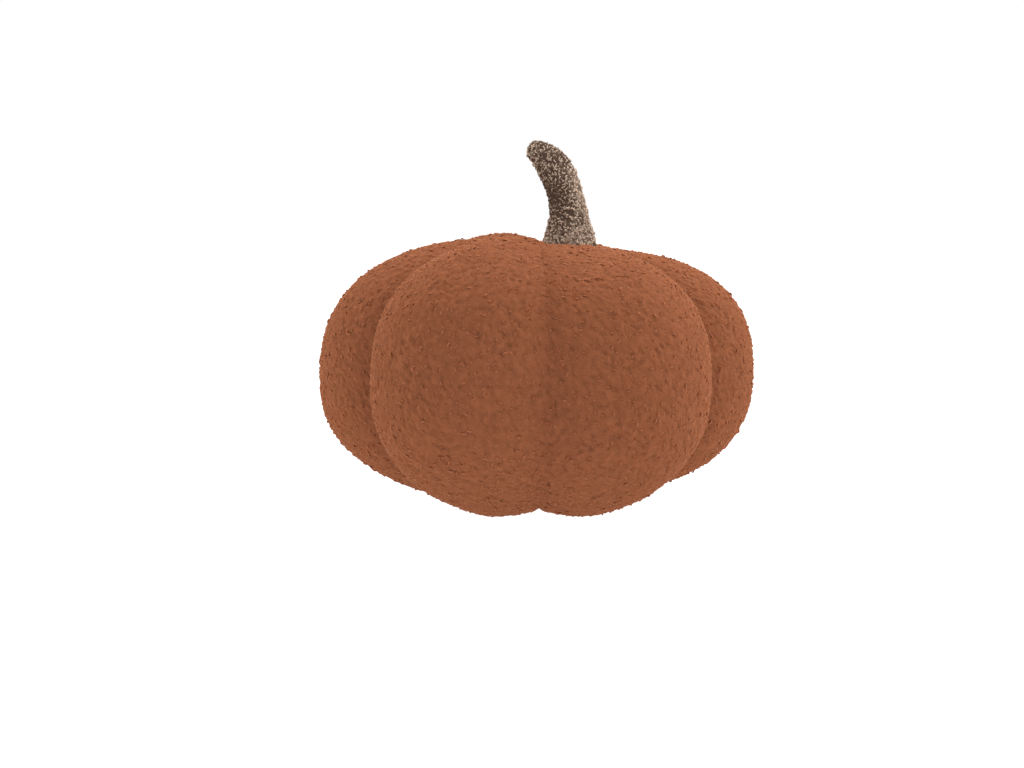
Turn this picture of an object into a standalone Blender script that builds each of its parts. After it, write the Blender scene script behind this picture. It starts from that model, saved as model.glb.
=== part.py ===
# Pumpkin cushion: a stuffed round body, sewn from six looped-yarn gores whose seams are drawn in
# to a dimple at each pole, and a bent stuffed stem that is hand-sewn into the top dimple.
# Metres, +Z up, standing on its base. The front faces -Y, and +X is on the right.

import math

import bpy
from mathutils import Vector

# Driving dimensions of the body, pile included
BODY_WIDTH = 0.350
WAIST_HEIGHT = 0.102  # height of the widest level
GORES = 6
TURN = math.radians(3.3)  # the front seam stands this far round to the right
# Exponents of the superellipses that each meridian follows, 2 being an ellipse
TOP_SQUARENESS = 2.7
UNDER_SQUARENESS = 2.12

# A seam's meridian runs inside the crests: this share of their reach, and this low on top
SEAM_REACH = 0.855
SEAM_TOP = 0.2065
SEAM_UNDERSIDE = -0.001
CREST_UNDERSIDE = -0.010  # where a crest would hang if no floor pressed it flat
FLOOR_BLEND = 0.003  # half the height over which a crest turns into its flat foot

# The dimples that the tying thread pulls in at the two poles
TOP_POLE = 0.195
TOP_DIMPLE_WIDTH = 0.030
TOP_POLE_OFFSET = 0.021  # the top pole is pulled this far to the right
TOP_PULL_RADIUS = 0.110  # the pull fades out at this distance from the pole
UNDER_POLE = 0.014
UNDER_DIMPLE_WIDTH = 0.030

# One row for each gore, anticlockwise seen from above, starting right of the front seam.
# reach is the crest's share of half the body's width, and top is the crest's highest level.
GORE_TABLE = (
    {"reach": 0.990, "top": 0.2090},  # front right
    {"reach": 1.007, "top": 0.2060},  # right
    {"reach": 0.980, "top": 0.2090},  # back right
    {"reach": 0.985, "top": 0.2150},  # back left
    {"reach": 0.997, "top": 0.2128},  # left
    {"reach": 0.995, "top": 0.2182},  # front left
)

# How finely the body is faceted
STEPS_ACROSS_GORE = 12
STEPS_POLE_TO_POLE = 44

# The stem's sections from its root to its tip. right is the distance from the body's middle line.
STEM_SECTIONS = (
    {"right": 0.0240, "height": 0.1695, "radius": 0.0265},
    {"right": 0.0255, "height": 0.1935, "radius": 0.0255},
    {"right": 0.0265, "height": 0.2075, "radius": 0.0225},
    {"right": 0.0263, "height": 0.2195, "radius": 0.0190},
    {"right": 0.0260, "height": 0.2315, "radius": 0.0160},
    {"right": 0.0235, "height": 0.2465, "radius": 0.0152},
    {"right": 0.0195, "height": 0.2595, "radius": 0.0150},
    {"right": 0.0130, "height": 0.2705, "radius": 0.0142},
    {"right": 0.0055, "height": 0.2785, "radius": 0.0118},
    {"right": 0.0020, "height": 0.2815, "radius": 0.0100},
)
STEM_SIDES = 24
STEM_STEPS_PER_SECTION = 3
STEM_TIP_STEPS = 5
SEWN_GAP = 0.0003  # the stem's root stands this far off the body's cloth
FACET_ALLOWANCE = 1.2  # facets of a swollen copy stand off less than its corners do


def power(value, exponent):
    """A power that keeps the sign of its base."""
    return math.copysign(abs(value) ** exponent, value)


def meridian(reach, top, underside, lift):
    """(distance from the axis, height) on one meridian, at lift from -90 degrees below to 90 above."""
    squareness = TOP_SQUARENESS if lift >= 0 else UNDER_SQUARENESS
    across = reach * abs(math.cos(lift)) ** (2 / squareness)
    share_up = power(math.sin(lift), 2 / squareness)
    if lift >= 0:
        level = WAIST_HEIGHT + (top - WAIST_HEIGHT) * share_up
        level -= (top - TOP_POLE) * math.exp(-((across / TOP_DIMPLE_WIDTH) ** 2))
    else:
        level = WAIST_HEIGHT + (WAIST_HEIGHT - underside) * share_up
        level += (UNDER_POLE - underside) * math.exp(-((across / UNDER_DIMPLE_WIDTH) ** 2))
    return across, level


def bulge(share_across):
    """How far the cloth stands out from its seams (0) to the gore's crest (1).
    Seen from above, a stuffed gore is an arc of a circle through its two seams and its crest."""
    half_gore = math.pi / GORES
    centre = (1 - SEAM_REACH**2) / (2 * (1 - SEAM_REACH * math.cos(half_gore)))
    arc_radius = 1 - centre
    angle = share_across * half_gore
    reach = centre * math.cos(angle) + math.sqrt(arc_radius**2 - (centre * math.sin(angle)) ** 2)
    return max(0.0, (reach - SEAM_REACH) / (1 - SEAM_REACH))


def pressed_flat(level):
    """The level of cloth over the floor: flat at 0 where it would hang lower, with a soft edge."""
    if level <= -FLOOR_BLEND:
        return 0.0
    if level >= FLOOR_BLEND:
        return level
    return (level + FLOOR_BLEND) ** 2 / (4 * FLOOR_BLEND)


def body_point(gore, share_across, lift):
    """A point of the cloth on one gore, from its left seam (-1) to its right one (1)."""
    row = GORE_TABLE[gore]
    beside = GORE_TABLE[(gore + (1 if share_across > 0 else -1)) % GORES]
    half_width = BODY_WIDTH / 2
    crest = meridian(half_width * row["reach"], row["top"], CREST_UNDERSIDE, lift)
    # Two gores share each seam, so the seam takes the mean of their reaches, and so on across.
    seam_reach = half_width * SEAM_REACH * (row["reach"] + beside["reach"]) / 2
    seam = meridian(seam_reach, SEAM_TOP, SEAM_UNDERSIDE, lift)
    out = bulge(share_across)
    across = seam[0] + (crest[0] - seam[0]) * out
    level = pressed_flat(seam[1] + (crest[1] - seam[1]) * out)
    bearing = TURN + (gore + (1 + share_across) / 2) * math.tau / GORES
    pull = max(0.0, 1 - across / TOP_PULL_RADIUS) ** 2 if lift > 0 else 0.0
    right = across * math.sin(bearing) + TOP_POLE_OFFSET * pull
    return Vector((right, -across * math.cos(bearing), level))


def fabric(name, colour, roughness):
    """A plain cloth material."""
    material = bpy.data.materials.new(name)
    material.use_nodes = True
    shader = material.node_tree.nodes["Principled BSDF"]
    shader.inputs["Base Color"].default_value = (*colour, 1.0)
    shader.inputs["Roughness"].default_value = roughness
    shader.inputs["Metallic"].default_value = 0.0
    return material


def closed_tube(name, rings, first_pole, last_pole, material):
    """A smooth-shaded object from rings of points, all as long, closed by a fan at each end."""
    sides = len(rings[0])
    points = [first_pole] + [point for ring in rings for point in ring] + [last_pole]
    faces = []
    for side in range(sides):
        after = (side + 1) % sides
        faces.append((0, 1 + after, 1 + side))
        for ring in range(len(rings) - 1):
            low, high = 1 + ring * sides, 1 + (ring + 1) * sides
            faces.append((low + side, low + after, high + after, high + side))
        last_ring = 1 + (len(rings) - 1) * sides
        faces.append((last_ring + side, last_ring + after, len(points) - 1))
    mesh = bpy.data.meshes.new(name)
    mesh.from_pydata(points, [], faces)
    mesh.materials.append(material)
    mesh.shade_smooth()
    made = bpy.data.objects.new(name, mesh)
    bpy.context.scene.collection.objects.link(made)
    return made


def make_body(material):
    """The stuffed body, centred over the origin, and how far it was moved to get there."""
    # Columns crowd towards the seams, where the cloth turns in sharply.
    shares = [
        math.sin(math.pi / 2 * (2 * step / STEPS_ACROSS_GORE - 1)) for step in range(STEPS_ACROSS_GORE)
    ]
    rings = []
    for step in range(1, STEPS_POLE_TO_POLE):
        lift = math.pi * (step / STEPS_POLE_TO_POLE - 0.5)
        rings.append([body_point(gore, share, lift) for gore in range(GORES) for share in shares])
    under = Vector((0, 0, UNDER_POLE))
    top = Vector((TOP_POLE_OFFSET, 0, TOP_POLE))
    every = [point for ring in rings for point in ring]
    middle = Vector(
        (
            (min(p.x for p in every) + max(p.x for p in every)) / 2,
            (min(p.y for p in every) + max(p.y for p in every)) / 2,
            0,
        )
    )
    rings = [[point - middle for point in ring] for ring in rings]
    body = closed_tube("body", rings, under - middle, top - middle, material)
    return body, middle


def smooth_between(before, start, end, after, share):
    """A Catmull-Rom curve's value between start and end."""
    return 0.5 * (
        2 * start
        + (end - before) * share
        + (2 * before - 5 * start + 4 * end - after) * share**2
        + (3 * start - before - 3 * end + after) * share**3
    )


def stem_line(middle):
    """(centre, radius) of each of the stem's rings, up to where its rounded tip begins."""
    rows = [
        (Vector((row["right"], 0, row["height"])) - middle, row["radius"]) for row in STEM_SECTIONS
    ]
    line = []
    for number in range(len(rows) - 1):
        before, after = rows[max(number - 1, 0)], rows[min(number + 2, len(rows) - 1)]
        start, end = rows[number], rows[number + 1]
        for step in range(STEM_STEPS_PER_SECTION):
            share = step / STEM_STEPS_PER_SECTION
            line.append(
                tuple(smooth_between(before[k], start[k], end[k], after[k], share) for k in (0, 1))
            )
    line.append(rows[-1])
    return line


def stem_ring(centre, along, radius):
    """A ring of points round the stem's middle line, square to the way along it."""
    back = Vector((0, 1, 0))
    side = back.cross(along)
    ring = []
    for number in range(STEM_SIDES):
        angle = math.tau * number / STEM_SIDES
        ring.append(centre + side * radius * math.cos(angle) + back * radius * math.sin(angle))
    return ring


def make_stem(body, middle, material):
    """The stuffed stem: a bent taper with a round tip, cut off where it meets the body's cloth."""
    line = stem_line(middle)
    rings = []
    for number, (centre, radius) in enumerate(line):
        before, after = line[max(number - 1, 0)][0], line[min(number + 1, len(line) - 1)][0]
        along = (after - before).normalized()
        rings.append(stem_ring(centre, along, radius))
    tip_centre, tip_radius = line[-1]
    for step in range(1, STEM_TIP_STEPS):
        angle = math.pi / 2 * step / STEM_TIP_STEPS
        centre = tip_centre + along * tip_radius * math.sin(angle)
        rings.append(stem_ring(centre, along, tip_radius * math.cos(angle)))
    stem = closed_tube("stem", rings, line[0][0], tip_centre + along * tip_radius, material)

    # The root ends on the body's cloth: a copy of the body, a little fatter, is cut away from it.
    cutter = bpy.data.objects.new("body_cutter", body.data.copy())
    bpy.context.scene.collection.objects.link(cutter)
    normals = [vertex.normal.copy() for vertex in cutter.data.vertices]
    for vertex, normal in zip(cutter.data.vertices, normals):
        vertex.co += normal * SEWN_GAP * FACET_ALLOWANCE
    cutter.hide_render = True
    cutter.display_type = "WIRE"
    trim = stem.modifiers.new("sewn root", "BOOLEAN")
    trim.operation = "DIFFERENCE"
    trim.solver = "EXACT"
    trim.object = cutter
    return stem


for old in list(bpy.data.objects):
    bpy.data.objects.remove(old)

rust_boucle = fabric("rust boucle", (0.265, 0.090, 0.042), 0.95)
taupe_boucle = fabric("taupe boucle", (0.200, 0.140, 0.105), 0.95)

cushion = bpy.data.objects.new("cushion", None)
bpy.context.scene.collection.objects.link(cushion)
body, middle = make_body(rust_boucle)
stem = make_stem(body, middle, taupe_boucle)
body.parent = cushion
stem.parent = cushion
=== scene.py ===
# A pumpkin cushion: a stuffed body of six looped-yarn gores, drawn in to a dimple at the top and
# the bottom, and a bent stuffed stem sewn into the top one. Metres, +Z up, the front facing -Y.

import math

import bpy
import numpy as np
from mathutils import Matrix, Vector


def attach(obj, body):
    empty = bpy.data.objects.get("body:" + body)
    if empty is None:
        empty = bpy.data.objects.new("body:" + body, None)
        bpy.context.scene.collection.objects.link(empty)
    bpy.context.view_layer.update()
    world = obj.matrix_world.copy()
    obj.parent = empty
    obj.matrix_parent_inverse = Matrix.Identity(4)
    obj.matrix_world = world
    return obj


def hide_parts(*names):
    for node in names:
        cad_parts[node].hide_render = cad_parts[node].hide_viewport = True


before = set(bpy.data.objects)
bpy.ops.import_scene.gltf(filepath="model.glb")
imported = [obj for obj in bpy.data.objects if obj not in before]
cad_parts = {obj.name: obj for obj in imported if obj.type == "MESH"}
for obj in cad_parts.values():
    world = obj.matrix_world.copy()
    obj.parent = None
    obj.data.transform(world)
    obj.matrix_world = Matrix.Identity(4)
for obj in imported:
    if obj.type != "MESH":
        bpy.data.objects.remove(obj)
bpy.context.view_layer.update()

# The sewn bag. Six gores of rust cloth are sewn edge to edge and tied through the middle, so that
# the seams sink in and meet in two dimples. Each gore swells out between its seams.
BODY_WIDTH = 0.350
WAIST_HEIGHT = 0.102
GORES = 6
FRONT_SEAM_TURN = math.radians(3.3)  # the front seam stands this far round to the right
SQUARENESS = (2.7, 2.12)  # exponents of a seam's superellipse, above and below the waist
SEAM_REACH = 0.855  # the share of a crest's reach at which the arcs of two lobes meet
# Each seam's share of the reach of the crests beside it, its top, and the share of its depth that
# the meeting pile rounds off. The front one, the first, is the shallowest.
SEAMS = np.array(
    [
        (0.855, 0.2095, 0.09),
        (0.836, 0.2065, 0.05),
        (0.840, 0.2065, 0.04),
        (0.840, 0.2065, 0.04),
        (0.840, 0.2065, 0.04),
        (0.836, 0.2065, 0.05),
    ]
)
SEAM_UNDERSIDE = -0.001
FLOOR_BLEND = 0.003
TOP_POLE = 0.202
TOP_DIMPLE_WIDTH = 0.024
TOP_POLE_OFFSET = 0.021
TOP_PULL_RADIUS = 0.090
UNDER_POLE = 0.014
UNDER_DIMPLE_WIDTH = 0.030
ON_SEAM = 1e-9  # a point this share of a turn before a seam is on the seam
# Each crest's share of half the width, its top, where it would hang if no floor pressed it flat,
# and the exponents above and below its waist.
GORE_TABLE = (
    {"name": "gore_front_right", "crest": (0.990, 0.2090, -0.009, 2.70, 2.12)},
    {"name": "gore_right", "crest": (1.007, 0.2038, 0.005, 2.85, 2.45)},
    {"name": "gore_back_right", "crest": (0.980, 0.2090, -0.010, 2.70, 2.12)},
    {"name": "gore_back_left", "crest": (0.985, 0.2150, -0.010, 2.70, 2.12)},
    {"name": "gore_left", "crest": (0.996, 0.2138, 0.001, 2.42, 2.35)},
    {"name": "gore_front_left", "crest": (0.995, 0.2170, -0.007, 2.70, 2.12)},
)
CRESTS = np.array([row["crest"] for row in GORE_TABLE])
HALF_GORE = math.pi / GORES
LOBE_CENTRE = (1 - SEAM_REACH**2) / (2 * (1 - SEAM_REACH * math.cos(HALF_GORE)))
LOBE_RADIUS = 1 - LOBE_CENTRE


def meridian(reach, top, underside, squareness_above, squareness_below, lift):
    """(distance from the axis, height) on meridians, at lift from -90 degrees below to 90 above."""
    squareness = np.where(lift >= 0, squareness_above, squareness_below)
    across = reach * np.abs(np.cos(lift)) ** (2 / squareness)
    share_up = np.abs(np.sin(lift)) ** (2 / squareness)
    top_dimple = (top - TOP_POLE) * np.exp(-((across / TOP_DIMPLE_WIDTH) ** 2))
    under_dimple = (UNDER_POLE - underside) * np.exp(-((across / UNDER_DIMPLE_WIDTH) ** 2))
    above = WAIST_HEIGHT + (top - WAIST_HEIGHT) * share_up - top_dimple
    below = WAIST_HEIGHT - (WAIST_HEIGHT - underside) * share_up + under_dimple
    return across, np.where(lift >= 0, above, below)


def pressed_flat(level):
    """The level of cloth over the floor: flat at 0 where it would hang lower, with a soft edge."""
    softened = (level + FLOOR_BLEND) ** 2 / (4 * FLOOR_BLEND)
    return np.where(level >= FLOOR_BLEND, level, np.where(level <= -FLOOR_BLEND, 0, softened))


def even_share(fraction):
    """Where a gore is met after that fraction of its width, from its left seam (-1) to its right (1)."""
    widest = math.asin(SEAM_REACH * math.sin(HALF_GORE) / LOBE_RADIUS)
    angle = (2 * fraction - 1) * widest
    return np.arctan2(LOBE_RADIUS * np.sin(angle), LOBE_CENTRE + LOBE_RADIUS * np.cos(angle)) / HALF_GORE


def body_cloth(turn, lift):
    """Points of the cloth at that share of a turn from the front seam and at that lift."""
    gore = np.floor(turn * GORES + ON_SEAM).astype(int) % GORES
    share = even_share(turn * GORES % 1)
    beside = (gore + np.where(share > 0, 1, -1)) % GORES
    angle = share * HALF_GORE
    lobe = LOBE_CENTRE * np.cos(angle) + np.sqrt(LOBE_RADIUS**2 - (LOBE_CENTRE * np.sin(angle)) ** 2)
    seam_share, seam_top, fill = SEAMS[(gore + (share > 0)) % GORES].T
    out = np.hypot(np.clip((lobe - SEAM_REACH) / (1 - SEAM_REACH), 0, None), fill)
    reach, *rest = CRESTS[gore].T
    crest = meridian(BODY_WIDTH / 2 * reach, *rest, lift)
    seam_reach = BODY_WIDTH / 2 * seam_share * (reach + CRESTS[beside, 0]) / 2
    seam = meridian(seam_reach, seam_top, SEAM_UNDERSIDE, *SQUARENESS, lift)
    across = seam[0] + (crest[0] - seam[0]) * out
    level = pressed_flat(seam[1] + (crest[1] - seam[1]) * out)
    bearing = FRONT_SEAM_TURN + (gore + (1 + share) / 2) * math.tau / GORES
    pull = np.where(lift > 0, np.clip(1 - across / TOP_PULL_RADIUS, 0, None) ** 2, 0)
    right = across * np.sin(bearing) + TOP_POLE_OFFSET * pull
    return np.stack([right, -across * np.cos(bearing), level], axis=1)


MIDDLING_REACH = 0.95  # between a crest's and a seam's
FINE_LIFTS = 6001


def even_lifts(rows):
    """The lifts that part a middling meridian, from pole to pole, into rows of the same height."""
    fine = np.linspace(-math.pi / 2, math.pi / 2, FINE_LIFTS)
    _, top, underside, _, _ = CRESTS.mean(axis=0)
    across, level = meridian(BODY_WIDTH / 2 * MIDDLING_REACH, top, underside, *SQUARENESS, fine)
    steps = np.hypot(np.diff(across), np.diff(pressed_flat(level)))
    length = np.concatenate([[0], np.cumsum(steps)])
    return np.interp(np.linspace(0, length[-1], rows + 1), length, fine), length[-1]


class Rings:
    """Closed rings of points stacked from one pole to the other, each with its own count of points.
    Every ring starts at the same bearing, so a seam keeps to the same share of each ring."""

    def __init__(self, counts):
        self.counts = np.array(counts)
        self.starts = np.concatenate([[0], np.cumsum(self.counts)[:-1]])
        self.ring = np.repeat(np.arange(len(self.counts)), self.counts)
        self.column = np.arange(self.counts.sum()) - self.starts[self.ring]
        self.turn = self.column / self.counts[self.ring]

    def nearest(self, ring, turn, step=0):
        """The point nearest that turn of a ring, or so many steps after it."""
        column = np.round(turn * self.counts[ring]).astype(int) + step
        return self.starts[ring] + column % self.counts[ring]

    def stretch(self, ring, first, last):
        """The points of a ring from one share of the turn to another, both ends included."""
        count = self.counts[ring]
        columns = np.arange(round(first * count), round(last * count) + 1)
        return self.starts[ring] + (columns % count if count > 1 else np.zeros(1, int))

    def skin(self, first=0.0, last=1.0):
        """The triangles between all the rings, from one share of the turn to another."""
        lines = [self.stretch(ring, first, last) for ring in range(len(self.counts))]
        return np.concatenate([sewn(low, high) for low, high in zip(lines, lines[1:])])


def sewn(low, high):
    """Triangles that join two lines of points that run the same way, as even as their counts let."""
    low_steps = (np.arange(len(low) - 1) + 0.5) / max(len(low) - 1, 1)
    high_steps = (np.arange(len(high) - 1) + 0.5) / max(len(high) - 1, 1)
    order = np.argsort(np.concatenate([low_steps, high_steps]), kind="stable")
    on_low = order < len(low_steps)
    low_done = np.cumsum(on_low) - on_low
    high_done = np.cumsum(~on_low) - ~on_low
    next_low = low[np.minimum(low_done + 1, len(low) - 1)]
    next_high = high[np.minimum(high_done + 1, len(high) - 1)]
    return np.stack([low[low_done], np.where(on_low, next_low, next_high), high[high_done]], axis=1)


def normals_of(points, triangles):
    """The mean normal of the triangles round each point."""
    corners = points[triangles]
    faces = np.cross(corners[:, 1] - corners[:, 0], corners[:, 2] - corners[:, 0])
    normals = np.zeros_like(points)
    for axis in range(3):
        for corner in range(3):
            normals[:, axis] += np.bincount(triangles[:, corner], faces[:, axis], len(points))
    return normals / np.maximum(np.linalg.norm(normals, axis=1, keepdims=True), 1e-12)


# The stuffing. Loose fibre fills the slack bag until the gores stand taut. A coarse bag, held at its
# seams, its poles and its foot, is blown up in a cloth simulation, and the pile follows what it did.
BAG_COLUMNS = 14 * GORES
BAG_ROWS = 54
BAG_SLACK = 0.002  # a crest starts this far inside its filled place
BAG_PRESSURE = 1200.0
STUFFING_FRAMES = 20
MOST_OFF = 0.0009  # no point ends further from its filled place than this
TIED_RADIUS = 0.040  # the tying thread holds the cloth nearer to a pole than this
LUMP_SIZE = 0.0008  # how far hand stuffing leaves the cloth out of true
LUMP_SEED = 23
LUMP_ROWS = 11  # lumps between the poles
LUMP_COLUMNS = 24  # lumps round the waist
SEWN_GIVE = 0.01  # cloth that gives less than this share of a crest's give is held at its seam


def smoothly_between(grid, row, column):
    """Catmull-Rom values of a grid that closes round its second axis, at fractional places."""
    weights = []
    for place in (row, column):
        share = place % 1
        weights.append(
            (
                (-share + 2 * share**2 - share**3) / 2,
                (2 - 5 * share**2 + 3 * share**3) / 2,
                (share + 4 * share**2 - 3 * share**3) / 2,
                (share**3 - share**2) / 2,
            )
        )
    rows, columns = grid.shape[:2]
    total = np.zeros((len(row), *grid.shape[2:]))
    for row_step, row_weight in enumerate(weights[0]):
        near_row = np.clip(np.floor(row).astype(int) + row_step - 1, 0, rows - 1)
        for column_step, column_weight in enumerate(weights[1]):
            near_column = (np.floor(column).astype(int) + column_step - 1) % columns
            weight = row_weight * column_weight
            total += grid[near_row, near_column] * weight.reshape(-1, *[1] * (grid.ndim - 2))
    return total


def stuffed_offsets():
    """How far the stuffed bag lies from body_cloth, as a grid of rows from pole to pole."""
    rings = Rings([1] + [BAG_COLUMNS] * (BAG_ROWS - 1) + [1])
    filled = body_cloth(rings.turn, even_lifts(BAG_ROWS)[0][rings.ring])
    skin = rings.skin()
    normals = normals_of(filled, skin)
    give = np.sin(math.pi * (rings.turn * GORES % 1))  # none at a seam, all at a crest
    slack = filled - normals * (BAG_SLACK * give)[:, None]
    slack[:, 2] = np.maximum(slack[:, 2], 0)
    stuffed = slack.copy()
    mesh = bpy.data.meshes.new("bag")
    mesh.from_pydata(slack.tolist(), [], skin.tolist())
    bag = bpy.data.objects.new("bag", mesh)
    bpy.context.scene.collection.objects.link(bag)
    from_axis = np.hypot(filled[:, 0], filled[:, 1])
    held = (give < SEWN_GIVE) | (from_axis < TIED_RADIUS) | (filled[:, 2] < FLOOR_BLEND / 4)
    bag.vertex_groups.new(name="held").add(np.flatnonzero(held).tolist(), 1.0, "REPLACE")
    filling = bag.modifiers.new("filling", "CLOTH").settings
    filling.vertex_group_mass = "held"
    filling.use_pressure = True
    filling.uniform_pressure_force = BAG_PRESSURE
    filling.effector_weights.gravity = 0
    for moment in range(1, STUFFING_FRAMES + 1):
        bpy.context.scene.frame_set(moment)
    blown_up = bag.evaluated_get(bpy.context.evaluated_depsgraph_get()).data
    places = np.empty(slack.size, np.float32)
    blown_up.vertices.foreach_get("co", places)
    stuffed = places.reshape(-1, 3).astype(float)
    bpy.data.objects.remove(bag)
    bpy.context.scene.frame_set(1)
    offsets = stuffed - filled
    distance = np.maximum(np.linalg.norm(offsets, axis=1, keepdims=True), 1e-9)
    offsets *= np.minimum(1, MOST_OFF / distance)
    lumps = np.random.default_rng(LUMP_SEED).uniform(-1, 1, (LUMP_ROWS, LUMP_COLUMNS))
    lump_row = rings.ring / BAG_ROWS * (LUMP_ROWS - 1)
    lump = smoothly_between(lumps, lump_row, rings.turn * LUMP_COLUMNS)
    offsets += normals * (LUMP_SIZE * give * lump)[:, None]
    ends = [np.repeat(offsets[place], BAG_COLUMNS, axis=0) for place in ([0], [-1])]
    return np.concatenate([ends[0], offsets[1:-1], ends[1]]).reshape(BAG_ROWS + 1, BAG_COLUMNS, 3)


# The cloth under the pile, in rings of points about as far apart as the low curls can show.
BODY_PITCH = 0.00125
GORE_PILE_SUNK = 0.0010  # the cloth lies this far inside the reach of its pile
GIRTH_POINTS = 120  # points round a ring that its girth is measured by

body_rows = int(even_lifts(2)[1] / BODY_PITCH)
body_lifts, _ = even_lifts(body_rows)
body_counts = [1]
round_turn = np.arange(GIRTH_POINTS) / GIRTH_POINTS
for lift in body_lifts[1:-1]:
    outline = body_cloth(round_turn, np.full(GIRTH_POINTS, lift))
    girth = np.linalg.norm(outline - np.roll(outline, 1, axis=0), axis=1).sum()
    body_counts.append(GORES * max(round(girth / GORES / BODY_PITCH), 1))
body_counts.append(1)
body_rings = Rings(body_counts)
cloth = body_cloth(body_rings.turn, body_lifts[body_rings.ring])
middle = (cloth.max(axis=0) + cloth.min(axis=0)) / 2
bag_row = body_rings.ring / body_rows * BAG_ROWS
cloth += smoothly_between(stuffed_offsets(), bag_row, body_rings.turn * BAG_COLUMNS)
cloth[:, :2] -= middle[:2]
gore_skins = [body_rings.skin(gore / GORES, (gore + 1) / GORES) for gore in range(GORES)]
body_skin = np.concatenate(gore_skins)
cloth_normals = normals_of(cloth, body_skin)

# The pile. Boucle yarn is spun with slack curls that stand off the cloth, each an open ring of yarn
# lying at its own slant. Low ones crowd on the cloth. Loops of yarn lie on them, most nearly flat and
# a few leaning out, and both ends of each run into the cloth.
BODY_CURLS = {
    "seed": 7,
    "spacing": 0.0030,
    "curl": (0.0009, 0.0016),  # radius of the ring
    "yarn": (0.0013, 0.0018),  # radius of the yarn
    "sweep": (2.2, 5.2),  # how much of a turn the ring goes round, in radians
    "lift": (-0.0005, 0.0006),
    "slant": 0.3,
}
BODY_PILE = 0.0022  # what the highest of the low curls stand above the deepest gap
BODY_LOOPS = {
    "seed": 19,
    "spacing": 0.0041,
    "radius": (0.0009, 0.0018),
    "yarn": (0.00060, 0.00090),
    "sweep": (2.0, 3.9),
    "tilt": 0.8,  # the most that a loop leans out, in radians
    "sunk": (0.0000, 0.0005),
    "dive": 0.0008,
    "steps": 3,
    "sides": 3,
}
CLEAR_OF_FLOOR = 0.0002
JITTER = 0.4  # how far a curl is off its even place, as a share of the spacing
LEAN_POWER = 4  # the higher, the fewer loops lean out
LOOP_OVAL = (0.75, 1.3)
LOOP_TAPER = 0.4  # the yarn is this share thinner at a loop's ends
TAPER_POWER = 4


def strewn(rings, spacing, pitch, chance):
    """(ring, turn) of places strewn over the cloth, about that far apart."""
    row_step = spacing / pitch
    rows, turns = [], []
    for row in np.arange(row_step / 2, len(rings.counts) - 1, row_step * math.sqrt(3) / 2):
        number = max(int(rings.counts[int(row)] * pitch / spacing), 1)
        jitter = chance.uniform(-JITTER, JITTER, (2, number))
        turns.append((np.arange(number) + chance.random() + jitter[0]) / number % 1)
        rows.append(np.clip(np.round(row + jitter[1] * row_step), 1, len(rings.counts) - 2))
    return np.concatenate(rows).astype(int), np.concatenate(turns)


def ways_along(points, normals, rings, ring, turn):
    """The points of the cloth at those places, and two ways along the cloth at each."""
    home = rings.nearest(ring, turn)
    along = points[rings.nearest(ring, turn, 1)] - points[home]
    along -= normals[home] * (along * normals[home]).sum(axis=1, keepdims=True)
    along /= np.maximum(np.linalg.norm(along, axis=1, keepdims=True), 1e-9)
    return home, along, np.cross(normals[home], along)


def low_curls(points, normals, rings, triangles, curls, pitch):
    """How high the low curls stand at each point, and the shade of the curl on top there."""
    chance = np.random.default_rng(curls["seed"])
    ring, turn = strewn(rings, curls["spacing"], pitch, chance)
    home, along, up = ways_along(points, normals, rings, ring, turn)
    number = len(home)
    radius = chance.uniform(*curls["curl"], number)
    yarn = chance.uniform(*curls["yarn"], number)
    begin = chance.uniform(0, math.tau, number)
    sweep = chance.uniform(*curls["sweep"], number)
    lift = chance.uniform(*curls["lift"], number)
    slant = curls["slant"] * chance.random(number)
    slant_way = chance.uniform(0, math.tau, number)
    shade = chance.uniform(-1, 1, number)
    ends = [(radius * np.cos(angle), radius * np.sin(angle)) for angle in (begin, begin + sweep)]
    reach = math.ceil((curls["curl"][1] + curls["yarn"][1]) / pitch) + 1
    height = np.zeros(len(points))
    top_shade = np.zeros(len(points))
    for ring_step in range(-reach, reach + 1):
        near = np.clip(ring + ring_step, 1, len(rings.counts) - 2)
        for column_step in range(-reach, reach + 1):
            point = rings.nearest(near, turn, column_step)
            offset = points[point] - points[home]
            x = (offset * along).sum(axis=1)
            y = (offset * up).sum(axis=1)
            angle = (np.arctan2(y, x) - begin) % math.tau
            to_ring = np.abs(np.hypot(x, y) - radius)
            to_end = np.minimum(*(np.hypot(x - end[0], y - end[1]) for end in ends))
            distance = np.where(angle <= sweep, to_ring, to_end)
            roundness = np.clip(1 - (distance / yarn) ** 2, 0, 1)
            leaning = slant * (x * np.cos(slant_way) + y * np.sin(slant_way))
            stands = np.where(distance < yarn, (lift + leaning + yarn) * roundness, 0)
            higher = np.flatnonzero(stands > height[point])
            higher = higher[np.argsort(stands[higher], kind="stable")]
            height[point[higher]] = stands[higher]
            top_shade[point[higher]] = shade[higher]
    return evened(height, triangles), evened(top_shade, triangles)


def evened(values, triangles):
    """The values of the points, each drawn half way to the mean of those round it."""
    total = np.zeros(len(values))
    for corner in range(3):
        after = triangles[:, (corner + 1) % 3]
        total += np.bincount(triangles[:, corner], values[after], len(values))
    number = np.maximum(np.bincount(triangles.ravel(), minlength=len(values)), 1)
    return (values + total / number) / 2


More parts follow.
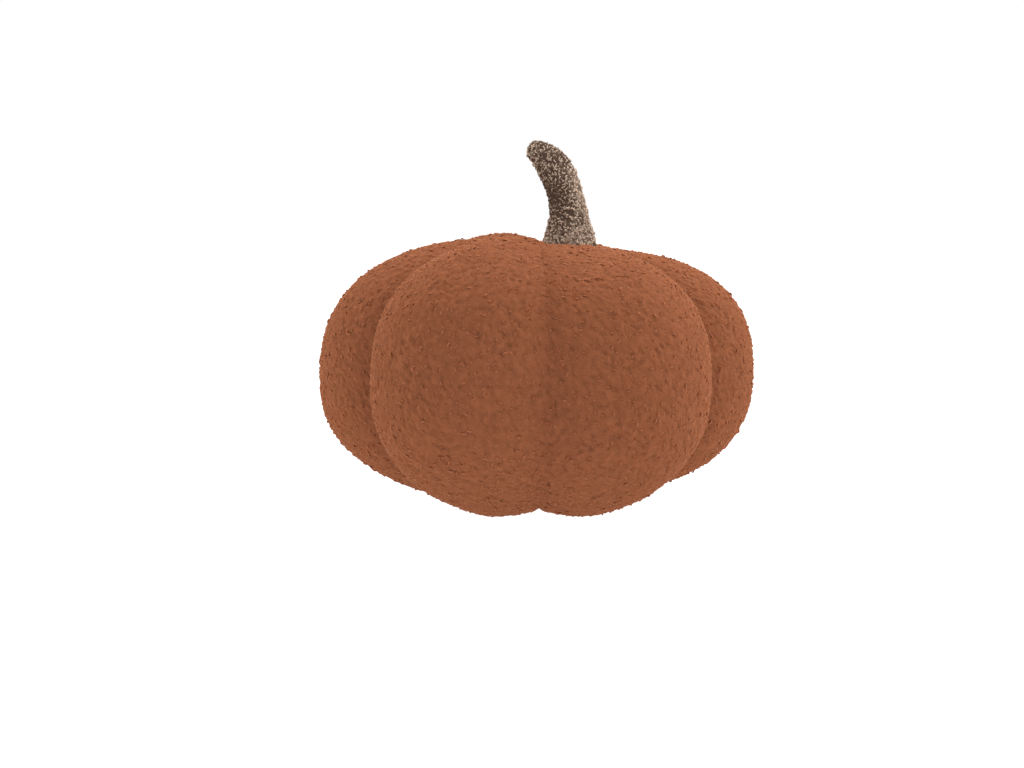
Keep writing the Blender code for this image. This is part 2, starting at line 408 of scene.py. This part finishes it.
def yarn_loops(points, normals, rings, loops, pitch):
    """Open loops of yarn that stand in the pile: their corners, triangles, shades, and turns."""
    chance = np.random.default_rng(loops["seed"])
    ring, turn = strewn(rings, loops["spacing"], pitch, chance)
    home, along, up = ways_along(points, normals, rings, ring, turn)
    number = len(home)
    steps = loops["steps"]
    sides = loops["sides"]
    heading = chance.uniform(0, math.tau, number)[:, None]
    tilt = loops["tilt"] * chance.random(number)[:, None] ** LEAN_POWER
    radius = chance.uniform(*loops["radius"], number)[:, None, None]
    yarn = chance.uniform(*loops["yarn"], number)[:, None]
    sweep = chance.uniform(*loops["sweep"], number)[:, None]
    sunk = chance.uniform(*loops["sunk"], number)[:, None]
    shade = chance.uniform(-1, 1, number)
    oval = chance.uniform(*LOOP_OVAL, number)[:, None]
    first = along * np.cos(heading) + up * np.sin(heading)
    across = up * np.cos(heading) - along * np.sin(heading)
    second = across * np.cos(tilt) + normals[home] * np.sin(tilt)
    centre = points[home] - normals[home] * sunk
    bend = np.linspace(-0.5, 0.5, steps + 1)
    angle = (sweep * bend)[:, :, None]
    out = np.sin(angle) * (first * oval)[:, None] + np.cos(angle) * second[:, None]
    axis = np.cross(first, second)[:, None, None]
    girth = (yarn * (1 - LOOP_TAPER * (2 * bend) ** TAPER_POWER))[:, :, None, None]
    dive = normals[home][:, None] * (loops["dive"] * (2 * bend) ** 2)[:, None]
    core = (centre[:, None] + radius * out - dive)[:, :, None]
    # The yarn has a corner on top, so that its two upper faces catch the light.
    side = (math.tau / 4 + np.arange(sides) * math.tau / sides)[:, None]
    corners = core + girth * (out[:, :, None] * np.cos(side) + axis * np.sin(side))
    faces = []
    for step in range(steps):
        for corner in range(sides):
            low, high = step * sides, (step + 1) * sides
            after = (corner + 1) % sides
            faces.append((low + corner, low + after, high + after))
            faces.append((low + corner, high + after, high + corner))
    for corner in range(1, sides - 1):
        faces.append((0, corner + 1, corner))
        faces.append((steps * sides, steps * sides + corner, steps * sides + corner + 1))
    loop_size = (steps + 1) * sides
    triangles = np.array(faces) + (np.arange(number) * loop_size)[:, None, None]
    return corners.reshape(number, loop_size, 3), triangles, shade, turn


def piece_of(name, points, triangles, values, folded=None):
    """A smooth mesh object, creased between folded points. Its material reads the named values."""
    mesh = bpy.data.meshes.new(name)
    mesh.vertices.add(len(points))
    mesh.vertices.foreach_set("co", points.astype(np.float32).ravel())
    mesh.loops.add(triangles.size)
    mesh.loops.foreach_set("vertex_index", triangles.astype(np.int32).ravel())
    mesh.polygons.add(len(triangles))
    mesh.polygons.foreach_set("loop_start", np.arange(0, triangles.size, 3, dtype=np.int32))
    mesh.update(calc_edges=True)
    mesh.shade_smooth()
    if folded is not None:
        ends = np.empty(2 * len(mesh.edges), np.int32)
        mesh.edges.foreach_get("vertices", ends)
        creased = folded[ends].reshape(-1, 2).all(axis=1)
        mesh.attributes.new("sharp_edge", "BOOLEAN", "EDGE").data.foreach_set("value", creased)
    for kind, each in values.items():
        mesh.attributes.new(kind, "FLOAT", "POINT").data.foreach_set("value", each.astype(np.float32))
    made = bpy.data.objects.new(name, mesh)
    bpy.context.scene.collection.objects.link(made)
    return made


body_pile, body_shade = low_curls(
    cloth, cloth_normals, body_rings, body_skin, BODY_CURLS, BODY_PITCH
)
body_points = cloth + cloth_normals * (body_pile - GORE_PILE_SUNK)[:, None]
body_points[:, 2] = np.maximum(body_points[:, 2], CLEAR_OF_FLOOR)
loop_points, loop_faces, loop_shade, loop_turn = yarn_loops(
    body_points, cloth_normals, body_rings, BODY_LOOPS, BODY_PITCH
)
loop_points[:, :, 2] = np.maximum(loop_points[:, :, 2], CLEAR_OF_FLOOR)


# The looks of the wool. Its colour is mixed from the height of the pile, the shade of each curl, broad
# patches, fine fibres, and the painted shading that a piece may carry. The height of the pile gives the
# yarn's own darker ground plus painted shade in the gaps, and painted highlight on the tops of the curls
# and loops. It is matt, and lets a little light through.
PATCH_SCALE = 28.0  # patches about 35 mm across
FIBRE_SCALE = 2200.0  # fibres about 0.5 mm across
NOISE_DETAIL = 2.0
FIBRE_BUMP = 0.0002
FIBRE_BUMP_STRENGTH = 0.5
WOOL_ROUGHNESS = 0.9
LIGHT_REACH = 0.0010  # how far red light gets inside the yarn
LIGHT_BY_COLOUR = (1.0, 0.7, 0.5)  # red gets furthest, and blue least far


class Signal:
    """A value, colour or vector in a material. Sums on it are written as plain expressions."""

    tree = None

    def __init__(self, socket):
        self.socket = socket

    @classmethod
    def made(cls, kind, inputs=None, output=0, **settings):
        """What a new node gives. Its settings are set first, then the values or links of its sockets."""
        node = cls.tree.nodes.new(kind)
        for name, value in settings.items():
            setattr(node, name, value)
        for name, value in (inputs or {}).items():
            if isinstance(value, Signal):
                cls.tree.links.new(value.socket, node.inputs[name])
            else:
                node.inputs[name].default_value = value
        return cls(node.outputs[output]) if node.outputs else None

    def sum(self, operation, first, second):
        return Signal.made("ShaderNodeMath", {0: first, 1: second}, operation=operation)

    def __add__(self, other):
        return self.sum("ADD", self, other)

    def __radd__(self, other):
        return self.sum("ADD", other, self)

    def __sub__(self, other):
        return self.sum("SUBTRACT", self, other)

    def __rsub__(self, other):
        return self.sum("SUBTRACT", other, self)

    def __mul__(self, other):
        return self.sum("MULTIPLY", self, other)

    def __rmul__(self, other):
        return self.sum("MULTIPLY", other, self)

    def blend(self, low, high):
        """A colour between two others, at the share that this value gives."""
        inputs = {0: self, 6: low, 7: high}
        return Signal.made("ShaderNodeMix", inputs, output=2, data_type="RGBA")


def linear(red, green, blue):
    """A colour given in sRGB parts of 255, as the linear values that a shader takes."""
    values = []
    for part in (red / 255, green / 255, blue / 255):
        values.append(part / 12.92 if part <= 0.04045 else ((part + 0.055) / 1.055) ** 2.4)
    return (*values, 1.0)


def looped_cloth(name, looks):
    """A woollen pile: darker in the gaps and lighter on the curls and loops, partly the yarn's own tone
    and partly painted shade and highlight; each curl a little lighter or darker; darker or lighter where
    the piece carries painted shading.
    """
    material = bpy.data.materials.new(name)
    material.use_nodes = True
    Signal.tree = material.node_tree
    Signal.tree.nodes.clear()
    pile = Signal.made("ShaderNodeAttribute", output="Fac", attribute_name="pile")
    shade = Signal.made("ShaderNodeAttribute", output="Fac", attribute_name="shade")
    place = Signal.made("ShaderNodeTexCoord", output="Object")
    noise = {"Vector": place, "Detail": NOISE_DETAIL}
    patches = Signal.made("ShaderNodeTexNoise", noise | {"Scale": PATCH_SCALE})
    fibres = Signal.made("ShaderNodeTexNoise", noise | {"Scale": FIBRE_SCALE})
    # Painted shading that a piece may carry: the stem is darker left of its bend and at its tip, and
    # lighter right of its bend.
    painted_shading = Signal.made("ShaderNodeAttribute", output="Fac", attribute_name="painted_shading")
    share = pile * looks["by pile"] + shade * looks["by curl"] - painted_shading * looks["by painted shading"]
    share = share + (patches - 0.5) * looks["by patch"] + (fibres - 0.5) * looks["by fibre"]
    colour = share.blend(looks["gap"], looks["crest"])
    relief = {"Height": fibres, "Strength": FIBRE_BUMP_STRENGTH, "Distance": FIBRE_BUMP}
    inputs = {
        "Base Color": colour,
        "Roughness": WOOL_ROUGHNESS,
        "Normal": Signal.made("ShaderNodeBump", relief),
        "Specular IOR Level": 0.0,
        "Subsurface Weight": looks["let through"],
        "Subsurface Scale": LIGHT_REACH,
        "Subsurface Radius": LIGHT_BY_COLOUR,
    }
    shader = Signal.made("ShaderNodeBsdfPrincipled", inputs)
    Signal.made("ShaderNodeOutputMaterial", {"Surface": shader})
    return material


# The gap colour is partly the yarn's darker ground and partly painted shade. The crest colour, and the
# loops that go past it, are partly painted highlight.
RUST_LOOKS = {
    "gap": linear(115, 69, 46),
    "crest": linear(155, 94, 65),
    "by pile": 0.75,
    "by curl": 0.12,
    "by patch": 0.15,
    "by fibre": 0.08,
    "by painted shading": 0.0,
    "let through": 0.3,
}
GROUND_PILE = 0.60  # how light the highest of the low curls are, as a share of full pile
LOOP_PILE = 1.12  # how light the loops on them are
rust_boucle = looped_cloth("rust boucle", RUST_LOOKS)

# Each gore is closed into a solid lobe. Inside, it ends in its two seam allowances, which lie a
# little apart from its neighbours', and a plain face joins them.
SEAM_ALLOWANCE = 0.012
ALLOWANCE_SPREAD = 0.0015
INNER_ROWS = 40
LEAST_AREA = 1e-14  # a triangle with less is left out

inner_rows = np.round(np.linspace(0, body_rows, INNER_ROWS + 1)).astype(int)[1:-1]
for gore, row in enumerate(GORE_TABLE):
    crest = body_rings.starts + body_rings.counts * (2 * gore + 1) // (2 * GORES)
    points = [body_points]
    seams, edges = [], []
    for side in (gore, (gore + 1) % GORES):
        seam = body_rings.starts + body_rings.counts * side // GORES
        here = seam[inner_rows]
        inward = -cloth_normals[here] * SEAM_ALLOWANCE
        aside = body_points[crest[inner_rows]] - body_points[here]
        aside /= np.maximum(np.linalg.norm(aside, axis=1, keepdims=True), 1e-9)
        depth = np.minimum(1, np.linalg.norm(cloth[here][:, :2], axis=1) / TOP_DIMPLE_WIDTH)[:, None]
        first_new = sum(len(part) for part in points)
        points.append(body_points[here] + (inward + aside * ALLOWANCE_SPREAD) * depth)
        middle_part = np.arange(first_new, first_new + len(here))
        seams.append(seam)
        edges.append(np.concatenate([seam[:1], middle_part, seam[-1:]]))
    folded = np.zeros(sum(len(part) for part in points), bool)
    folded[np.concatenate(seams)] = True
    hidden = np.zeros(len(folded) - len(body_pile))
    pile = np.concatenate([GROUND_PILE * body_pile / BODY_PILE, hidden])
    shade = np.concatenate([body_shade, hidden])
    points = np.concatenate(points)
    lining = [sewn(edges[1], seams[1]), sewn(seams[0], edges[0]), sewn(edges[0], edges[1])]
    triangles = np.concatenate([gore_skins[gore], *lining])
    corners = points[triangles]
    faces = np.cross(corners[:, 1] - corners[:, 0], corners[:, 2] - corners[:, 0])
    wanted = triangles[np.linalg.norm(faces, axis=1) > LEAST_AREA]
    used, triangles = np.unique(wanted, return_inverse=True)

    mine = np.floor(loop_turn * GORES) == gore
    loops = loop_points[mine]
    loop_triangles = loop_faces[: len(loops)].reshape(-1, 3) + len(used)
    loop_size = loops.shape[1]
    piece = piece_of(
        row["name"],
        np.concatenate([points[used], loops.reshape(-1, 3)]),
        np.concatenate([triangles.reshape(-1, 3), loop_triangles]),
        {
            "pile": np.concatenate([pile[used], np.full(len(loops) * loop_size, LOOP_PILE)]),
            "shade": np.concatenate([shade[used], np.repeat(loop_shade[mine], loop_size)]),
        },
        np.concatenate([folded[used], np.zeros(len(loops) * loop_size, bool)]),
    )
    piece.data.materials.append(rust_boucle)
    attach(piece, "root")
    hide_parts("body")

# The stem. A tapered tube of taupe cloth is stuffed, bent to the left and closed at its tip, and its
# flared root is sewn down by hand round the top dimple. Its pile is tighter and more beaded.
STEM_SECTIONS = (
    {"right": 0.0250, "height": 0.1860, "radius": 0.0260},
    {"right": 0.0262, "height": 0.1935, "radius": 0.0260},
    {"right": 0.0272, "height": 0.2075, "radius": 0.0230},
    {"right": 0.0271, "height": 0.2195, "radius": 0.0194},
    {"right": 0.0267, "height": 0.2315, "radius": 0.0163},
    {"right": 0.0240, "height": 0.2465, "radius": 0.0150},
    {"right": 0.0195, "height": 0.2595, "radius": 0.0150},
    {"right": 0.0130, "height": 0.2705, "radius": 0.0142},
    {"right": 0.0055, "height": 0.2780, "radius": 0.0118},
    {"right": 0.0020, "height": 0.2805, "radius": 0.0100},
)
STEPS_PER_SECTION = 24
CAP_STEPS = 24  # steps of the outline round the closed tip
CAP_RINGS = 24  # the last rings, which stand square to the tip's way
FEWEST_IN_RING = 6
STEM_PITCH = 0.00070
STEM_CURLS = {
    "seed": 11,
    "spacing": 0.0024,
    "curl": (0.0007, 0.0013),
    "yarn": (0.0006, 0.0009),
    "sweep": (2.4, 5.6),
    "lift": (0.0001, 0.0008),
    "slant": 0.4,
}
STEM_PILE = 0.0019
STEM_PILE_SUNK = 0.0021
STEM_LOOPS = {
    "seed": 31,
    "spacing": 0.0027,
    "radius": (0.0005, 0.0012),
    "yarn": (0.00050, 0.00080),
    "sweep": (2.2, 5.2),
    "tilt": 0.8,
    "sunk": (-0.0003, 0.0004),
    "dive": 0.0005,
    "steps": 5,
    "sides": 4,
}


def smooth_line(rows, steps):
    """A Catmull-Rom curve through the rows, with that many steps between each and the next."""
    line = []
    for number in range(len(rows) - 1):
        before, start = rows[max(number - 1, 0)], rows[number]
        end, after = rows[number + 1], rows[min(number + 2, len(rows) - 1)]
        for share in np.arange(steps) / steps:
            bend = (2 * before - 5 * start + 4 * end - after) * share**2
            swing = (3 * start - before - 3 * end + after) * share**3
            line.append(0.5 * (2 * start + (end - before) * share + bend + swing))
    return np.array(line + [rows[-1]])


stem_rows = np.array([[row["right"], 0, row["height"], row["radius"]] for row in STEM_SECTIONS])
stem_line = smooth_line(stem_rows, STEPS_PER_SECTION)
stem_line[:, :2] -= middle[:2]
tip, before_tip = stem_line[-1], stem_line[-2]
tip_way = (tip - before_tip)[:3] / np.linalg.norm((tip - before_tip)[:3])
for angle in np.linspace(0, math.pi / 2, CAP_STEPS)[1:]:
    cap_centre = tip[:3] + tip_way * tip[3] * math.sin(angle)
    stem_line = np.vstack([stem_line, [*cap_centre, tip[3] * math.cos(angle)]])
centre_steps = np.linalg.norm(np.diff(stem_line[:, :3], axis=0), axis=1)
outline_steps = np.hypot(centre_steps, np.diff(stem_line[:, 3]))
outline_length = np.concatenate([[0], np.cumsum(outline_steps)])
stem_ring_total = int(outline_length[-1] / STEM_PITCH)
even_steps = np.linspace(0, outline_length[-1], stem_ring_total + 1)
stem_columns = [np.interp(even_steps, outline_length, column) for column in stem_line.T]
stem_even = np.stack(stem_columns, axis=1)
stem_girths = math.tau * stem_even[:-1, 3]
stem_counts = [max(round(girth / STEM_PITCH), FEWEST_IN_RING) for girth in stem_girths]
stem_centres = np.vstack([stem_even[:1], stem_even])
stem_centres[0, 3] = 0
stem_centres[-1, 3] = 0
stem_ways = np.gradient(stem_even[:, :3], axis=0)
stem_ways[-CAP_RINGS:] = tip_way
stem_ways = np.vstack([stem_ways[:1], stem_ways])
stem_ways /= np.linalg.norm(stem_ways, axis=1, keepdims=True)
stem_rings = Rings([1] + stem_counts + [1])
stem_sides = np.cross([0, 1, 0], stem_ways)[stem_rings.ring]
stem_turn = (stem_rings.turn * math.tau)[:, None]
stem_round = stem_sides * np.cos(stem_turn) + np.array([0, 1, 0]) * np.sin(stem_turn)
stem_cloth = stem_centres[stem_rings.ring, :3] + stem_round * stem_centres[stem_rings.ring, 3:]
stem_skin = stem_rings.skin()
stem_normals = normals_of(stem_cloth, stem_skin)
stem_pile, stem_shade = low_curls(
    stem_cloth, stem_normals, stem_rings, stem_skin, STEM_CURLS, STEM_PITCH
)
stem_points = stem_cloth + stem_normals * (stem_pile - STEM_PILE_SUNK)[:, None]
stem_loops, stem_loop_faces, stem_loop_shade, _ = yarn_loops(
    stem_points, stem_normals, stem_rings, STEM_LOOPS, STEM_PITCH
)
stem_loop_total = stem_loops.shape[0] * stem_loops.shape[1]

# Painted shade and light on the stem: its colour is darker inside the bend, to the left, and at the tip,
# and lighter outside the bend, to the right.
STEM_BEND_HEIGHT = 0.246
STEM_BEND_SPREAD = 0.019
BEND_PAINTED_SHADE = 0.45  # on the stem's middle line, at the height of its bend
BEND_PAINTED_SHADE_PER_RADIUS = 0.9  # so much more for each radius to the inside
BEND_PAINTED_LIGHT = 0.1  # the most painted light outside the bend, to the right
SMALLEST_RADIUS = 0.008  # nearer to the tip's pole, the radius counts as this
TIP_PAINTED_SHADE = 0.4
TIP_FROM = 0.262  # height at which the tip's painted shade starts
TIP_SPAN = 0.015
STEM_GROUND_PILE = 0.50
STEM_LOOP_PILE = 1.25
all_stem_points = np.concatenate([stem_points, stem_loops.reshape(-1, 3)])
nearest_ring = np.argmin(np.abs(all_stem_points[:, 2:3] - stem_centres[:, 2]), axis=1)
from_centre = all_stem_points[:, 0] - stem_centres[nearest_ring, 0]
radii_out = from_centre / stem_centres[nearest_ring, 3].clip(SMALLEST_RADIUS)
along_bend = np.exp(-(((all_stem_points[:, 2] - STEM_BEND_HEIGHT) / STEM_BEND_SPREAD) ** 2))
bend_painted_shading = BEND_PAINTED_SHADE - BEND_PAINTED_SHADE_PER_RADIUS * radii_out
painted_shading = np.clip(bend_painted_shading, -BEND_PAINTED_LIGHT, 1) * along_bend
painted_shading += TIP_PAINTED_SHADE * np.clip((all_stem_points[:, 2] - TIP_FROM) / TIP_SPAN, 0, 1)
stem_ground_pile = stem_pile / STEM_PILE * STEM_GROUND_PILE
stem = piece_of(
    "stem_cover",
    all_stem_points,
    np.concatenate([stem_skin, stem_loop_faces.reshape(-1, 3) + len(stem_points)]),
    {
        "pile": np.concatenate([stem_ground_pile, np.full(stem_loop_total, STEM_LOOP_PILE)]),
        "shade": np.concatenate([stem_shade, np.repeat(stem_loop_shade, stem_loops.shape[1])]),
        "painted_shading": painted_shading,
    },
)
# As on the rust cloth, the gap colour is partly painted shade and the crest colour is partly painted
# highlight.
TAUPE_LOOKS = {
    "gap": linear(79, 63, 53),
    "crest": linear(204, 181, 161),
    "by pile": 0.70,
    "by curl": 0.25,
    "by patch": 0.3,
    "by fibre": 0.2,
    # painted shading: how much darker the stem is left of its bend and at its tip
    "by painted shading": 0.70,
    "let through": 0.0,
}
stem.data.materials.append(looped_cloth("taupe boucle", TAUPE_LOOKS))
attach(stem, "root")
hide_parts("stem")

# The studio: a pale table that glows a little, a white surround that lights the cloth from every
# side, and four soft lights: one high on the right, one above and behind, and a rim light at each side.
FLOOR_HALF = 6.0
FLOOR_GREY = 0.3
FLOOR_GLOW = 1.03
FLOOR_ROUGHNESS = 0.9
AIM_HEIGHT = 0.12  # the soft lights point at the cushion's middle, this high
floor_mesh = bpy.data.meshes.new("floor")
floor_corners = [(-FLOOR_HALF, -FLOOR_HALF, 0), (FLOOR_HALF, -FLOOR_HALF, 0)]
floor_corners += [(FLOOR_HALF, FLOOR_HALF, 0), (-FLOOR_HALF, FLOOR_HALF, 0)]
floor_mesh.from_pydata(floor_corners, [], [(0, 1, 2, 3)])
floor = bpy.data.objects.new("floor", floor_mesh)
bpy.context.scene.collection.objects.link(floor)
floor_paint = bpy.data.materials.new("white floor")
floor_paint.use_nodes = True
floor_shader = floor_paint.node_tree.nodes["Principled BSDF"]
floor_shader.inputs["Base Color"].default_value = (FLOOR_GREY, FLOOR_GREY, FLOOR_GREY, 1)
floor_shader.inputs["Roughness"].default_value = FLOOR_ROUGHNESS
floor_shader.inputs["Specular IOR Level"].default_value = 0.0
floor_shader.inputs["Emission Color"].default_value = (1, 1, 1, 1)
floor_shader.inputs["Emission Strength"].default_value = FLOOR_GLOW
floor_mesh.materials.append(floor_paint)

world = bpy.data.worlds.new("white surround")
bpy.context.scene.world = world
world.use_nodes = True
world.node_tree.nodes["Background"].inputs["Color"].default_value = (1, 1, 1, 1)
world.node_tree.nodes["Background"].inputs["Strength"].default_value = 1.0

SOFTBOXES = (
    {"name": "softbox_right", "place": (1.1, -0.5, 1.2), "width": 0.9, "watts": 7.8},
    {"name": "softbox_above", "place": (0.0, 0.65, 1.70), "width": 1.2, "watts": 19.0},
    {"name": "rim_left", "place": (-1.2, 0.5, 0.6), "width": 0.7, "watts": 6.5},
    {"name": "rim_right", "place": (1.2, 0.3, 0.4), "width": 0.7, "watts": 3.2},
)
for row in SOFTBOXES:
    light = bpy.data.lights.new(row["name"], "AREA")
    light.shape = "SQUARE"
    light.size = row["width"]
    light.energy = row["watts"]
    softbox = bpy.data.objects.new(row["name"], light)
    bpy.context.scene.collection.objects.link(softbox)
    softbox.location = row["place"]
    way = Vector((0, 0, AIM_HEIGHT)) - softbox.location
    softbox.rotation_euler = way.to_track_quat("-Z", "Y").to_euler()

# The camera stands in front, a little above the cushion's middle, and looks slightly down at it.
CAMERA_LENS = 50.3  # millimetres
CAMERA_PLACE = (0, -1.15, 0.255)
CAMERA_DOWN = 7.94  # degrees below the level
CAMERA_LEFT = 0.98  # degrees to the left of straight ahead
camera_data = bpy.data.cameras.new("camera")
camera_data.lens = CAMERA_LENS
camera = bpy.data.objects.new("camera", camera_data)
bpy.context.scene.collection.objects.link(camera)
camera.location = CAMERA_PLACE
camera.rotation_euler = (math.radians(90 - CAMERA_DOWN), 0, math.radians(CAMERA_LEFT))
bpy.context.scene.camera = camera
bpy.context.scene.view_settings.view_transform = "Standard"
